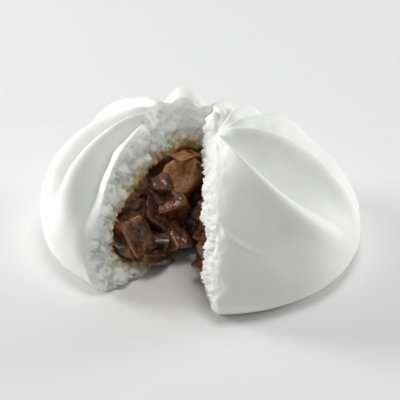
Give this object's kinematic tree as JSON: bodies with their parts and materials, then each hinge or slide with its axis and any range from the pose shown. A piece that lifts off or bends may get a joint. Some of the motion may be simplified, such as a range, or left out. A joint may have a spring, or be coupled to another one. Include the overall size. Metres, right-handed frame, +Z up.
{
  "type": "pork baozi",
  "caption": "Steamed pork bun with a pleated white dome, pulled open from the front so that its torn crumb and the diced pork in dark sauce show.",
  "frame": {"origin": "middle of the bounding box, at the flat base that stands on the table", "axes": "+Z up through the gather of the pleats, -Y out of the opening towards the eater, +X across the opening towards the half that keeps the gather"},
  "size_m": [0.1144, 0.096, 0.0514],
  "materials": {
    "dough": "soft white steamed wheat dough, smooth skin and rough torn crumb",
    "filling": "dark brown pork dice in a glossy thick sauce"
  },
  "bodies": {
    "root": {"dough": "dough", "filling": "filling"}
  },
  "joints": []
}
